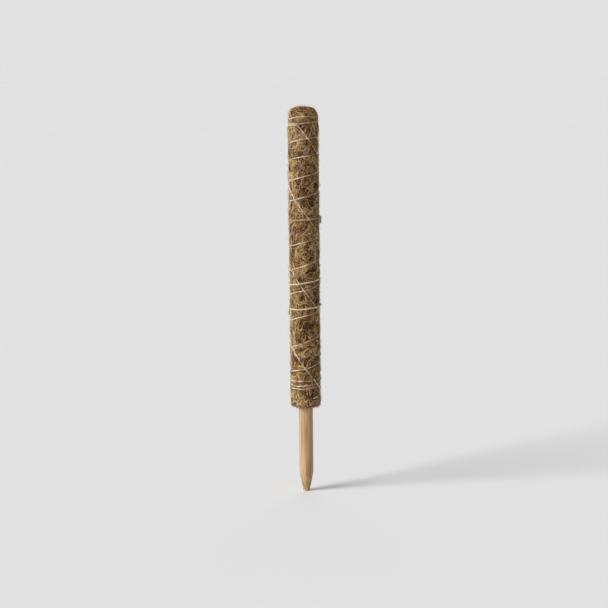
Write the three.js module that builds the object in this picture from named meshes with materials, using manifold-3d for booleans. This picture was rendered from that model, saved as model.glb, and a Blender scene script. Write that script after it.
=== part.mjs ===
import * as THREE from 'three';
import { mergeVertices } from 'three/addons/utils/BufferGeometryUtils.js';
import Module from 'manifold-3d';

// A coir moss pole: a wooden stake in two layers of coir, bound with twine and carrying three jute ties.
// Millimetres, +Z up, front towards -Y. The origin is on the axis at the lower edge of the coir.

const wasm = await Module();
wasm.setup();

// Stake
const stakeDiameter = 22;
const shankLength = 140; // bare stake below the coir
const footLength = 30; // tapered end of the shank
const footDiameter = 10; // flat tip of the foot
const stakeChamfer = 1; // broken edge at the top of the stake

// Coir
const coirLength = 460; // from the lower edge of the coir to its crown
const wrapThickness = 5.5; // inner layer
const matThickness = 5.4; // outer layer
const wadThickness = 8; // loose coir over the end of the stake
const crownRadius = 12; // rounding where the mat folds over the top
const crownRise = 1.3; // rise of the crown from that rounding to the axis
const seamGap = 0.8; // between the butted edges of a layer
const layerClearance = 0.3; // between layers, and round what passes through them
const wrapSeamAngle = -90; // degrees, at the front and under the outer mat
const matSeamAngle = 90; // degrees, at the back

// Staples of flattened wire
const stapleWidth = 10;
const stapleLegLength = 18; // of a lower staple, which goes through both layers
const seamStapleLegLength = 12;
const stapleWire = 0.8; // thickness of the wire
const stapleWireWidth = 1.4;
const lowerStapleCount = 4;
const lowerStapleAngle = 45; // degrees, the first of them
const lowerStapleHeight = 7;
const lowerStapleStagger = 6; // every second one sits this much higher
const seamStapleCount = 3;

// Binding twine: close turns at the top, opening turns down to the lower edge, then a steep return
const twineDiameter = 1.4;
const topTurnDrop = 13.4; // from the crown to the tucked start
const topTurnPitch = 7.4;
const topTurns = 1.7;
const openPitch = 26.5; // first open turn
const openPitchGrowth = 1.6; // each open turn is this much longer than the one above it
const lowerTurnHeight = 31; // where the close turns at the lower edge begin
const lowerTurnPitch = 5;
const lowerTurns = 2.2;
const returnPitch = 118;
const returnSlant = 0.65; // share by which the return is steeper at the front and flatter at the back
const returnTuckGap = 1.2; // between the tucked end of the return and the turn above it
const twineStartAngle = 60; // degrees
const twineEndAngle = -172; // degrees
const tuckFloor = 1.4; // mat left under a tucked end
const tuckBend = 2.2; // radius of the bend into the mat
const tuckClearance = 0.6; // round a tucked end
const threadGap = 0.7; // between threads where one crosses over another
const twineStrays = [ // places, in turns from the start, where the hand laid the twine off its even course
  { at: 0.42, rise: 3.1, reach: 0.25 },
  { at: 1.66, rise: 2, reach: 0.35 },
  { at: 2.1, rise: -6, reach: 0.35 },
  { at: 2.6, rise: -3, reach: 0.7 },
];

// Jute ties: one turn each, crossed at the knot, with two short ends
const tieDiameter = 2.6;
const tieEndDrop = 9; // how far the ends hang below the knot
const tieEndSpread = 5; // half the distance between the ends
const tieNeckDrop = 4.5; // where the ends begin to hang straight
const tieNeckSpread = 3.5;
const upperTieHeight = 291;
const upperTieTilt = 3; // rise from the left side of the pole to the right
const upperKnotAngle = -15; // degrees
const middleTieHeight = 194;
const middleTieTilt = 8;
const middleKnotAngle = 100;
const lowerTieHeight = 154;
const lowerTieTilt = 5;
const lowerKnotAngle = -163;

// Fineness of the round surfaces
const roundSegments = 48;
const cornerSegments = 3; // doubled on an arc
const loopSteps = 24;
const threadSides = 6;
const boreSides = 10;
const tieSides = 5;
const fineStep = 1.6; // along a thread where it crosses another
const coarseStep = 6;
const walkParts = 4; // places tried in one fine step

// Worked out from the sizes above
const { clamp, degToRad, lerp, smoothstep } = THREE.MathUtils;
const turn = Math.PI * 2;
const frontAngle = degToRad(-90);
const stakeRadius = stakeDiameter / 2;
const wrapInside = stakeRadius + layerClearance;
const wrapOutside = wrapInside + wrapThickness;
const matInside = wrapOutside + layerClearance;
const matOutside = matInside + matThickness;
const crownShoulder = coirLength - crownRise;
const foldUnderside = crownShoulder - matThickness;
const foldFillet = Math.max(crownRadius - matThickness, layerClearance * 2);
const wadTop = foldUnderside - layerClearance;
const wadBottom = wadTop - wadThickness;
const stakeTop = wadBottom - layerClearance;

// Turns a closed geometry into a solid that can be cut.
function solidOf(geometry) {
  const bare = geometry.index ? geometry.toNonIndexed() : geometry.clone();
  bare.deleteAttribute('normal');
  bare.deleteAttribute('uv');
  const merged = mergeVertices(bare, 1e-4);
  const corners = merged.index.array;
  const triangles = [];
  for (let i = 0; i < corners.length; i += 3) {
    const [a, b, c] = corners.slice(i, i + 3);
    if (a !== b && b !== c && c !== a) triangles.push(a, b, c);
  }
  return new wasm.Manifold(new wasm.Mesh({
    numProp: 3,
    vertProperties: new Float32Array(merged.attributes.position.array),
    triVerts: new Uint32Array(triangles),
  }));
}

function geometryOf(solid) {
  const mesh = solid.getMesh();
  const geometry = new THREE.BufferGeometry();
  geometry.setAttribute('position', new THREE.BufferAttribute(mesh.vertProperties, 3));
  geometry.setIndex(new THREE.BufferAttribute(mesh.triVerts, 1));
  geometry.computeVertexNormals();
  return geometry;
}

// Spins a profile of radius and height about the axis.
function turned(profile) {
  const lathe = new THREE.LatheGeometry(profile.getPoints(cornerSegments), roundSegments);
  lathe.rotateX(Math.PI / 2);
  return solidOf(lathe);
}

// A box that runs outwards from the axis at an angle, as a cutter for seams.
function radialSlot(angle, width, bottom, top) {
  const reach = matOutside * 2;
  const box = new THREE.BoxGeometry(reach, width, top - bottom);
  box.translate(reach / 2, 0, (top + bottom) / 2);
  box.rotateZ(degToRad(angle));
  return solidOf(box);
}

function cutAll(solid, cutters) {
  return cutters.reduce((rest, cutter) => rest.subtract(cutter), solid);
}

// Staples

// A staple bears on a layer of the given radius, with its crown pulled in until its corners are flush.
function crownFace(layerRadius) {
  return Math.sqrt(layerRadius ** 2 - (stapleWidth / 2) ** 2);
}

// A U in the plane across the pole, with its legs towards the axis and room left round the wire.
function stapleOutline(face, legLength, room, cover) {
  const outer = stapleWidth / 2 + room;
  const inner = stapleWidth / 2 - stapleWire - room;
  const tip = face - legLength - room;
  const under = face - stapleWire - room;
  const outline = new THREE.Shape();
  outline.moveTo(tip, -outer);
  outline.lineTo(face + cover, -outer);
  outline.lineTo(face + cover, outer);
  outline.lineTo(tip, outer);
  outline.lineTo(tip, inner);
  outline.lineTo(under, inner);
  outline.lineTo(under, -inner);
  outline.lineTo(tip, -inner);
  outline.closePath();
  return outline;
}

function stapleBody(place, room, cover) {
  const depth = stapleWireWidth + room * 2;
  const outline = stapleOutline(crownFace(place.layerRadius), place.legLength, room, cover);
  const body = new THREE.ExtrudeGeometry(outline, { depth, bevelEnabled: false });
  body.translate(0, 0, place.height - depth / 2);
  body.rotateZ(degToRad(place.angle));
  return solidOf(body);
}

// The bed that a staple presses into the coir and the stake is open to the outside of its layer.
function stapleBed(place) {
  return stapleBody(place, layerClearance, place.layerRadius - crownFace(place.layerRadius) + stapleWire);
}

const lowerStaples = Array.from({ length: lowerStapleCount }, (_, i) => ({
  name: `lower_staple_${i + 1}`,
  layerRadius: matOutside,
  legLength: stapleLegLength,
  angle: lowerStapleAngle + (360 / lowerStapleCount) * i,
  height: lowerStapleHeight + lowerStapleStagger * (i % 2),
}));
const seamStaples = Array.from({ length: seamStapleCount }, (_, i) => ({
  name: `seam_staple_${i + 1}`,
  layerRadius: wrapOutside,
  legLength: seamStapleLegLength,
  angle: wrapSeamAngle,
  height: (stakeTop / seamStapleCount) * (i + 0.5),
}));

// Threads
// A laid thread is a list of points on the mat: angle, height and lift over the bare mat.

function seatRadius(diameter) {
  return (matOutside + layerClearance + diameter / 2) / Math.cos(Math.PI / loopSteps);
}

function placed(point, diameter) {
  const radius = seatRadius(diameter) + point.lift;
  return new THREE.Vector3(radius * Math.cos(point.angle), radius * Math.sin(point.angle), point.height);
}

// The distance over the mat from a point to one stretch of a thread, and how high that stretch lies.
function nearestOnStretch(point, from, to) {
  const apart = from.angle - point.angle;
  const x = (apart - turn * Math.round(apart / turn)) * matOutside;
  const z = from.height - point.height;
  const dx = (to.angle - from.angle) * matOutside;
  const dz = to.height - from.height;
  const along = clamp(-(x * dx + z * dz) / (dx * dx + dz * dz), 0, 1);
  return { distance: Math.hypot(x + along * dx, z + along * dz), lift: lerp(from.lift, to.lift, along) };
}

// The lift that carries a point over a thread that is already laid.
function liftOver(point, thread, diameter, stretches = thread.length - 1) {
  const rise = diameter + threadGap;
  const reach = rise * 2;
  let lift = 0;
  for (let i = 0; i < stretches; i++) {
    const below = nearestOnStretch(point, thread[i], thread[i + 1]);
    lift = Math.max(lift, (below.lift + rise) * (1 - smoothstep(below.distance, 0, reach)));
  }
  return lift;
}

// Walks along a route, keeps points at a fine step near the threads below it and at a coarse one elsewhere.
function layOver(route, liftAt) {
  const laid = [];
  let walked = Infinity;
  route.forEach((point, i) => {
    const last = i === route.length - 1;
    const lift = liftAt(point, laid);
    if (i > 0) {
      const before = route[i - 1];
      walked += Math.hypot((point.angle - before.angle) * matOutside, point.height - before.height);
    }
    if (walked >= (lift > 0 ? fineStep : coarseStep) || last) {
      laid.push({ ...point, lift });
      walked = 0;
    }
  });
  return laid;
}

// How far the winding lies above its even course after a number of turns.
function strayAt(turns) {
  const rises = twineStrays.map(({ at, rise, reach }) => rise * (1 - smoothstep(Math.abs(turns - at), 0, reach)));
  return rises.reduce((sum, rise) => sum + rise, 0);
}

// The winding from the top to the lower edge, one point a step, always turning the same way.
function laidDown() {
  const start = degToRad(twineStartAngle);
  const blendTurns = 0.2;
  const points = [];
  let height = coirLength - topTurnDrop;
  let lowerSteps = 0;
  for (let step = 0; lowerSteps <= lowerTurns * loopSteps; step++) {
    const turns = step / loopSteps;
    points.push({ angle: start - turn * turns, height: height + strayAt(turns), lift: 0, turns });
    const open = openPitch + openPitchGrowth * (turns - topTurns);
    const opened = smoothstep(turns, topTurns - blendTurns, topTurns + blendTurns);
    const upper = lerp(topTurnPitch, open, opened);
    const near = smoothstep(height, lowerTurnHeight, lowerTurnHeight + open);
    height -= lerp(lowerTurnPitch, upper, near) / loopSteps;
    if (height < lowerTurnHeight + lowerTurnPitch) lowerSteps += 1;
  }
  return points;
}

// The height of the winding where it passes an angle for the nth time.
function heightAtPass(points, angle, pass) {
  const start = points[0].angle;
  const first = (start - angle) / turn;
  const turns = first - Math.floor(first) + pass;
  return points[Math.round(turns * loopSteps)].height;
}

// The return climbs on from the lower end of the winding, crosses over it and ends under its second turn.
function laidBack(down) {
  const foot = down[down.length - 1];
  const endAngle = degToRad(twineEndAngle);
  const endHeight = heightAtPass(down, endAngle, 1) - twineDiameter - returnTuckGap;
  const rise = endHeight - foot.height;
  const part = (foot.angle - endAngle) / turn;
  const share = part - Math.floor(part);
  const turns = Math.max(Math.round(rise / returnPitch - share), 1) + share;
  const leaveTurns = 0.1;
  const flatTurns = 0.12;
  const arriveTurns = 0.22;
  const dense = Math.round((turns * turn * matOutside) / (fineStep / walkParts));
  const rates = Array.from({ length: dense }, (_, i) => {
    const gone = (turns * (i + 0.5)) / dense;
    const slant = 1 + returnSlant * Math.cos(foot.angle - turn * gone - frontAngle);
    const leaving = smoothstep(gone, 0, leaveTurns);
    const arriving = smoothstep(turns - gone, flatTurns, arriveTurns);
    return slant * leaving * arriving;
  });
  const total = rates.reduce((sum, rate) => sum + rate, 0);
  let climbed = 0;
  const route = rates.map((rate, i) => {
    climbed += rate;
    const gone = (turns * (i + 1)) / dense;
    return {
      angle: foot.angle - turn * gone,
      height: foot.height + (rise * climbed) / total,
      turns: foot.turns + gone,
    };
  });
  const ownTurns = 0.6;
  return layOver(route, (point) => {
    const stretches = down.findLastIndex((below) => point.turns - below.turns > ownTurns);
    return liftOver(point, down, twineDiameter, stretches);
  });
}

// The points of a tucked end, from inside the mat to where it lies along the mat.
function tuckedEnd(point, direction) {
  const outwards = new THREE.Vector3(Math.cos(point.angle), Math.sin(point.angle), 0);
  const along = new THREE.Vector3(-outwards.y, outwards.x, 0).multiplyScalar(direction);
  const seat = seatRadius(twineDiameter) + point.lift;
  const at = (radius, sideways) => outwards.clone()
    .multiplyScalar(radius)
    .addScaledVector(along, sideways)
    .setZ(point.height);
  const points = [at(matInside + tuckFloor + layerClearance, 0)];
  const bendSteps = 4;
  for (let i = 0; i <= bendSteps; i++) {
    const bend = ((Math.PI / 2) * i) / bendSteps;
    points.push(at(seat - tuckBend * (1 - Math.sin(bend)), tuckBend * (1 - Math.cos(bend))));
  }
  return points;
}

// The bore in the mat that a tucked end goes into.
function tuckBore(point) {
  const length = matThickness - tuckFloor + twineDiameter;
  const radius = twineDiameter / 2 + tuckClearance;
  const bore = new THREE.CylinderGeometry(radius, radius, length, boreSides);
  bore.rotateZ(Math.PI / 2);
  bore.translate(matInside + tuckFloor + length / 2, 0, 0);
  bore.rotateZ(point.angle);
  bore.translate(0, 0, point.height);
  return solidOf(bore);
}

const ties = [
  { name: 'jute_tie_upper', height: upperTieHeight, tilt: upperTieTilt, knotAngle: upperKnotAngle },
  { name: 'jute_tie_middle', height: middleTieHeight, tilt: middleTieTilt, knotAngle: middleKnotAngle },
  { name: 'jute_tie_lower', height: lowerTieHeight, tilt: lowerTieTilt, knotAngle: lowerKnotAngle },
];

// A tie starts at one end, goes up to the knot, once round the pole and over itself to its other end.
function laidTie(tie, twine) {
  const knot = degToRad(tie.knotAngle);
  const endSpread = tieEndSpread / matOutside;
  const neckSpread = tieNeckSpread / matOutside;
  const heightAt = (angle) => tie.height + (tie.tilt / 2) * Math.sin(angle - frontAngle);
  const knotHeight = heightAt(knot);
  const corners = [
    [knot + endSpread, knotHeight - tieEndDrop],
    [knot + neckSpread, knotHeight - tieNeckDrop],
    [knot, knotHeight],
  ];
  const eighths = 8;
  for (let i = 1; i < eighths; i++) {
    const angle = knot - (turn * i) / eighths;
    corners.push([angle, heightAt(angle)]);
  }
  corners.push([knot - turn, knotHeight]);
  corners.push([knot - turn - neckSpread, knotHeight - tieNeckDrop]);
  corners.push([knot - turn - endSpread, knotHeight - tieEndDrop]);
  const unrolled = corners.map(([angle, height]) => new THREE.Vector3(angle * matOutside, height, 0));
  const curve = new THREE.CatmullRomCurve3(unrolled);
  const route = curve.getSpacedPoints(Math.round(curve.getLength() / (fineStep / walkParts)))
    .map((point) => ({ angle: point.x / matOutside, height: point.y }));
  return layOver(route, (point, laid) => {
    const own = laid.findLastIndex((below) => below.angle - point.angle > turn / 2);
    return Math.max(liftOver(point, twine, twineDiameter), liftOver(point, laid, tieDiameter, own));
  });
}

// A closed tube along points, with its section carried from point to point without twisting.
function tubeAlong(points, diameter, sides) {
  const positions = [];
  const triangles = [];
  const side = new THREE.Vector3();
  const tangents = points.map((_, i) => {
    const before = points[Math.max(i - 1, 0)];
    const after = points[Math.min(i + 1, points.length - 1)];
    return after.clone().sub(before).normalize();
  });
  side.crossVectors(tangents[0], new THREE.Vector3(0, 0, 1)).normalize();
  points.forEach((point, i) => {
    side.addScaledVector(tangents[i], -side.dot(tangents[i])).normalize();
    const other = new THREE.Vector3().crossVectors(tangents[i], side);
    for (let k = 0; k < sides; k++) {
      const angle = (turn * k) / sides;
      const corner = point.clone()
        .addScaledVector(side, (diameter / 2) * Math.cos(angle))
        .addScaledVector(other, (diameter / 2) * Math.sin(angle));
      positions.push(...corner.toArray());
    }
  });
  for (let i = 0; i + 1 < points.length; i++) {
    for (let k = 0; k < sides; k++) {
      const a = i * sides + k;
      const b = i * sides + ((k + 1) % sides);
      triangles.push(a, b, b + sides, a, b + sides, a + sides);
    }
  }
  const last = (points.length - 1) * sides;
  for (let k = 1; k + 1 < sides; k++) {
    triangles.push(0, k + 1, k, last, last + k, last + k + 1);
  }
  const geometry = new THREE.BufferGeometry();
  geometry.setAttribute('position', new THREE.Float32BufferAttribute(positions, 3));
  geometry.setIndex(triangles);
  geometry.computeVertexNormals();
  return geometry;
}

// The least gap of a tube to itself, measured between points about a millimetre apart along it.
function leastGap(points, diameter) {
  const samples = [];
  let walked = 0;
  for (let i = 0; i + 1 < points.length; i++) {
    const length = points[i].distanceTo(points[i + 1]);
    const parts = Math.max(Math.round(length), 1);
    for (let k = 0; k < parts; k++) {
      const at = points[i].clone().lerp(points[i + 1], k / parts);
      samples.push({ at, walked: walked + (length * k) / parts });
    }
    walked += length;
  }
  const sameStretch = diameter * 5;
  let least = Infinity;
  for (let i = 0; i < samples.length; i++) {
    for (let k = i + 1; k < samples.length; k++) {
      if (samples[k].walked - samples[i].walked < sameStretch) continue;
      least = Math.min(least, samples[i].at.distanceTo(samples[k].at));
    }
  }
  return least - diameter;
}

const down = laidDown();
const back = laidBack(down);
const twine = [...down, ...back];
const twinePoints = [
  ...tuckedEnd(down[0], -1),
  ...twine.slice(1, -1).map((point) => placed(point, twineDiameter)),
  ...tuckedEnd(back[back.length - 1], 1).reverse(),
];
console.log(`binding_twine least gap to itself: ${leastGap(twinePoints, twineDiameter).toFixed(2)} mm`);

// Bodies

function stakeSolid() {
  const profile = new THREE.Path();
  profile.moveTo(0, -shankLength);
  profile.lineTo(footDiameter / 2, -shankLength);
  profile.lineTo(stakeRadius, -shankLength + footLength);
  profile.lineTo(stakeRadius, stakeTop - stakeChamfer);
  profile.lineTo(stakeRadius - stakeChamfer, stakeTop);
  profile.lineTo(0, stakeTop);
  return cutAll(turned(profile), [...lowerStaples, ...seamStaples].map(stapleBed));
}

function innerWrapSolid() {
  const profile = new THREE.Path();
  profile.moveTo(wrapInside, 0);
  profile.lineTo(wrapOutside, 0);
  profile.lineTo(wrapOutside, stakeTop);
  profile.lineTo(wrapInside, stakeTop);
  profile.closePath();
  const seam = radialSlot(wrapSeamAngle, seamGap, -layerClearance, stakeTop + layerClearance);
  return cutAll(turned(profile), [seam, ...[...lowerStaples, ...seamStaples].map(stapleBed)]);
}

function crownWadSolid() {
  const radius = matInside - layerClearance;
  const edge = foldFillet - layerClearance;
  const profile = new THREE.Path();
  profile.moveTo(0, wadBottom);
  profile.lineTo(radius, wadBottom);
  profile.lineTo(radius, wadTop - edge);
  profile.absarc(radius - edge, wadTop - edge, edge, 0, Math.PI / 2, false);
  profile.lineTo(0, wadTop);
  return turned(profile);
}

function outerMatSolid() {
  const profile = new THREE.Path();
  profile.moveTo(matInside, 0);
  profile.lineTo(matOutside, 0);
  profile.lineTo(matOutside, crownShoulder - crownRadius);
  profile.absarc(matOutside - crownRadius, crownShoulder - crownRadius, crownRadius, 0, Math.PI / 2, false);
  profile.lineTo(0, coirLength);
  profile.lineTo(0, foldUnderside);
  profile.lineTo(matInside - foldFillet, foldUnderside);
  profile.absarc(matInside - foldFillet, foldUnderside - foldFillet, foldFillet, Math.PI / 2, 0, true);
  profile.closePath();
  const seam = radialSlot(matSeamAngle, seamGap, -layerClearance, crownShoulder - crownRadius);
  const bores = [down[0], back[back.length - 1]].map(tuckBore);
  return cutAll(turned(profile), [seam, ...bores, ...lowerStaples.map(stapleBed)]);
}

// Assembly

const finishes = {
  wood: { color: 0xc9a675, roughness: 0.7, metalness: 0 },
  innerCoir: { color: 0x7c5a36, roughness: 0.95, metalness: 0 },
  coir: { color: 0xa27a4c, roughness: 0.95, metalness: 0 },
  twine: { color: 0xe4cdaf, roughness: 0.85, metalness: 0 },
  jute: { color: 0xb79b6d, roughness: 0.9, metalness: 0 },
  steel: { color: 0xb9bdc1, roughness: 0.35, metalness: 1 },
};

const pole = new THREE.Group();

function addPart(name, geometry, finish) {
  const mesh = new THREE.Mesh(geometry, new THREE.MeshStandardMaterial(finishes[finish]));
  mesh.name = name;
  pole.add(mesh);
}

addPart('core_stake', geometryOf(stakeSolid()), 'wood');
addPart('inner_coir_wrap', geometryOf(innerWrapSolid()), 'innerCoir');
addPart('crown_wad', geometryOf(crownWadSolid()), 'innerCoir');
addPart('outer_coir_mat', geometryOf(outerMatSolid()), 'coir');
addPart('binding_twine', tubeAlong(twinePoints, twineDiameter, threadSides), 'twine');
for (const staple of [...lowerStaples, ...seamStaples]) {
  addPart(staple.name, geometryOf(stapleBody(staple, 0, 0)), 'steel');
}
for (const tie of ties) {
  const points = laidTie(tie, twine).map((point) => placed(point, tieDiameter));
  console.log(`${tie.name} least gap to itself: ${leastGap(points, tieDiameter).toFixed(2)} mm`);
  addPart(tie.name, tubeAlong(points, tieDiameter, tieSides), 'jute');
}

export default pole;
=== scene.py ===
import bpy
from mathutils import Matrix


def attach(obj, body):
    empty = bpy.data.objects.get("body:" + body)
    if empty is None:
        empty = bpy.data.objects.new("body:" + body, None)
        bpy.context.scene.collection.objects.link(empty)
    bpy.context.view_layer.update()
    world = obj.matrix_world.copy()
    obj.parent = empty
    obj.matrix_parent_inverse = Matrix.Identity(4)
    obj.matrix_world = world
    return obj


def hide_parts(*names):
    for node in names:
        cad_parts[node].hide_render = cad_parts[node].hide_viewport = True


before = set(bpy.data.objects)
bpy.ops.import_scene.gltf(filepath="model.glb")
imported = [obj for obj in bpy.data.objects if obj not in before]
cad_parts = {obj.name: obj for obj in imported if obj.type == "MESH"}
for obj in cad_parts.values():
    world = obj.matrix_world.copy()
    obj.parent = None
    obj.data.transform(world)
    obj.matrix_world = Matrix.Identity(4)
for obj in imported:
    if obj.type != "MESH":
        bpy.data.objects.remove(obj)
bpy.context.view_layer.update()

import math

import bmesh
import bpy
import numpy as np
from mathutils import Matrix, Vector, noise
from mathutils.kdtree import KDTree

MM = 0.001
TURN = 2 * math.pi
QUARTER = math.pi / 2
TINY = 1e-6

# One seeded source of chance, so that every run makes the same pole
SEED = 41
draw = np.random.default_rng(SEED)

# Sizes in millimetres, the same as in the part's source
STAKE_RADIUS = 11.0
SHANK_LENGTH = 140.0
FOOT_LENGTH = 30.0
FOOT_RADIUS = 5.0
STAKE_CHAMFER = 1.0
COIR_LENGTH = 460.0
WRAP_THICKNESS = 5.5
MAT_THICKNESS = 5.4
WAD_THICKNESS = 8.0
CROWN_RADIUS = 12.0
CROWN_RISE = 1.3
CLEARANCE = 0.3

WRAP_INSIDE = STAKE_RADIUS + CLEARANCE
WRAP_OUTSIDE = WRAP_INSIDE + WRAP_THICKNESS
MAT_INSIDE = WRAP_OUTSIDE + CLEARANCE
MAT_OUTSIDE = MAT_INSIDE + MAT_THICKNESS
MAT_ROUND = TURN * MAT_OUTSIDE
CROWN_SHOULDER = COIR_LENGTH - CROWN_RISE
ROUNDING_START = CROWN_SHOULDER - CROWN_RADIUS
CROWN_BEND = ROUNDING_START + CROWN_RADIUS * math.pi / 4
FOLD_UNDERSIDE = CROWN_SHOULDER - MAT_THICKNESS
FOLD_FILLET = CROWN_RADIUS - MAT_THICKNESS
WAD_TOP = FOLD_UNDERSIDE - CLEARANCE
WAD_BOTTOM = WAD_TOP - WAD_THICKNESS
STAKE_TOP = WAD_BOTTOM - CLEARANCE

# Lower staples
STAPLE_WIDTH = 10.0
STAPLE_COUNT = 4
STAPLE_ANGLE = math.radians(45)
STAPLE_HEIGHT = 7.0
STAPLE_STAGGER = 6.0

# Directions round the pole, and how far round from them their effect lasts
FRONT = math.radians(-90)
MAT_SEAM = math.radians(90)
WRAP_SEAM = math.radians(-90)
COMBED_SIDE = math.radians(212)
COMBED_WIDTH = 0.7
# Painted light: the side of the mat towards the lamp is painted paler
PAINTED_LIGHT_SIDE = math.radians(232)
PAINTED_LIGHT_WIDTH = 0.6
SLACK_SIDE = math.radians(-60)
SLACK_WIDTH = 0.5

# Binding twine: lengths in millimetres, counts in turns
TWINE_DIAMETER = 1.4
TWINE_SINK = 1.0
TWINE_SEAT = MAT_OUTSIDE + CLEARANCE + TWINE_DIAMETER / 2 - TWINE_SINK
TOP_TURN_DROP = 13.4
TOP_TURN_PITCH = 7.4
TOP_TURNS = 1.7
PITCH_BLEND = 0.2
OPEN_PITCH = 26.5
OPEN_PITCH_GROWTH = 1.6
LOWER_TURN_HEIGHT = 31.0
LOWER_TURN_PITCH = 5.0
LOWER_TURNS = 2.2
RETURN_PITCH = 118.0
RETURN_SLANT = 0.65
RETURN_SETTING_OUT = 0.1
RETURN_SETTLING = (0.12, 0.22)
RETURN_TUCK_GAP = 1.2
RETURN_STEP = 0.4
CROSSING_TURNS = 0.6
TWINE_START = math.radians(60)
TWINE_END = math.radians(-172)
TUCK_BEND = 2.2
TUCK_DEPTHS = (2.0, 3.2)
THREAD_GAP = 0.7
LOOP_STEPS = 24
FINE_STEPS = 11
TWINE_STEP = 0.6
TWINE_STRAYS = [
    {"at": 0.42, "rise": 3.1, "reach": 0.25},
    {"at": 1.66, "rise": 2.0, "reach": 0.35},
    {"at": 2.1, "rise": -6.0, "reach": 0.35},
    {"at": 2.6, "rise": -3.0, "reach": 0.7},
]
TWINE_WAVES = [
    {"height": 0.55, "rate": 1.7, "shift": 0.5},
    {"height": 0.4, "rate": 3.3, "shift": 1.1},
    {"height": 0.2, "rate": 7.9, "shift": 0.0},
]
TWINE_PLIES = {"count": 3, "offset": 0.33, "pitch": 4.2}
TWINE_PLY_THICKNESS = 0.78
TWINE_PLY_TONES = (0.55, 0.75, 0.65)

# Loose strands at the front, as points of degrees from the front and height
LOOSE_STRANDS = [
    [(10, 411), (14, 414.6), (24, 419), (31, 426), (38, 434), (41, 438)],
    [(36, 435), (40, 433), (45, 428), (46.5, 424), (45, 418)],
    [(-25, 346), (-31, 343.5), (-35.5, 340), (-30, 337), (-23, 334)],
]

# Jute ties: three plies laid one way, each from six yarns laid the other way
TIE_DIAMETER = 2.6
TIE_SINK = 0.8
TIE_SEAT = MAT_OUTSIDE + CLEARANCE + TIE_DIAMETER / 2 - TIE_SINK
TIE_STEPS = 16
TIE_SPACING = 0.5
KNOT_HALF = 4.2
KNOT_TURNS = 1.5
KNOT_STEPS = 13
KNOT_GAP = TIE_DIAMETER * 0.47
TIE_END_DROP = 9.0
TIE_END_SPREAD = 5.0
TIE_END_BENDS = [
    {"drop": 1.0, "wider": 0.0, "lift": 1.8},
    {"drop": 0.68, "wider": 0.8, "lift": 2.0},
    {"drop": 0.34, "wider": 0.5, "lift": 1.6},
]
TIES = {
    "jute_tie_upper": {"height": 291.0, "tilt": 3.0, "knot": math.radians(-15)},
    "jute_tie_middle": {"height": 194.0, "tilt": 8.0, "knot": math.radians(100)},
    "jute_tie_lower": {"height": 154.0, "tilt": 5.0, "knot": math.radians(-163)},
}
JUTE_PLIES = {"count": 3, "offset": 0.62, "pitch": 8.0}
JUTE_YARNS = {"count": 6, "offset": 0.44, "pitch": -6.0}
JUTE_YARN_THICKNESS = (0.46, 0.62)
JUTE_YARN_TONES = (0.2, 0.9)


def eased(value, low, high):
    """Rises smoothly from 0 at low to 1 at high."""
    part = np.clip((value - low) / (high - low), 0.0, 1.0)
    return part * part * (3 - 2 * part)


def blended(first, second, share):
    return first + (second - first) * share


def apart(angles, side):
    """The angle from a side of the pole, at most half a turn either way."""
    return (angles - side + math.pi) % TURN - math.pi


def beside(angles, side, width):
    """1 at a side of the pole, and less the further round from it."""
    return np.exp(-(apart(angles, side) / width) ** 2)


def slanted(angles, along, waves, length, shift=0.0):
    """Waves that run aslant over the mat: so many to a turn, and one radian to each length along it."""
    return np.sin(waves * angles + along / length + shift)


# Threads, laid over the mat as angle, height and lift, in radians and millimetres


def strayed(angles):
    """How far above its even course the hand laid the winding."""
    turns = (TWINE_START - angles) / TURN
    rise = np.zeros(len(angles))
    for stray in TWINE_STRAYS:
        rise = rise + stray["rise"] * (1 - eased(np.abs(turns - stray["at"]), 0.0, stray["reach"]))
    return rise


def wandering(angles):
    """The small up and down of a thread that is wound by hand."""
    return sum(wave["height"] * np.sin(wave["rate"] * angles + wave["shift"]) for wave in TWINE_WAVES)


def wound_down():
    """The winding from the top to the lower edge, one point a step, always turning the same way."""
    angles = []
    heights = []
    height = COIR_LENGTH - TOP_TURN_DROP
    lower_steps = 0
    while lower_steps <= LOWER_TURNS * LOOP_STEPS:
        turns = len(angles) / LOOP_STEPS
        angles.append(TWINE_START - TURN * turns)
        heights.append(height)
        open_pitch = OPEN_PITCH + OPEN_PITCH_GROWTH * (turns - TOP_TURNS)
        opened = eased(turns, TOP_TURNS - PITCH_BLEND, TOP_TURNS + PITCH_BLEND)
        upper = blended(TOP_TURN_PITCH, open_pitch, opened)
        near = eased(height, LOWER_TURN_HEIGHT, LOWER_TURN_HEIGHT + open_pitch)
        height -= blended(LOWER_TURN_PITCH, upper, near) / LOOP_STEPS
        if height < LOWER_TURN_HEIGHT + LOWER_TURN_PITCH:
            lower_steps += 1
    angles = np.array(angles)
    return angles, np.array(heights) + strayed(angles) + wandering(angles)


def nearest_stretch(angles, heights, thread_angles, thread_heights, thread_lifts):
    """Distance over the mat from each point to each stretch of a thread, and how high the stretch lies."""
    round_to = thread_angles[None, :-1] - angles[:, None]
    x = (round_to - TURN * np.round(round_to / TURN)) * MAT_OUTSIDE
    z = thread_heights[None, :-1] - heights[:, None]
    dx = np.diff(thread_angles)[None] * MAT_OUTSIDE
    dz = np.diff(thread_heights)[None]
    along = np.clip(-(x * dx + z * dz) / (dx * dx + dz * dz), 0.0, 1.0)
    lift = thread_lifts[None, :-1] + np.diff(thread_lifts)[None] * along
    return np.hypot(x + along * dx, z + along * dz), lift


def lift_over(angles, heights, thread, diameter, counts=None):
    """The lift that carries each point over a thread that is already laid."""
    distance, lift = nearest_stretch(angles, heights, *thread)
    rise = diameter + THREAD_GAP
    lift = (lift + rise) * (1 - eased(distance, 0.0, rise * 2))
    if counts is not None:
        lift = np.where(counts, lift, 0.0)
    return lift.max(axis=1)


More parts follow.
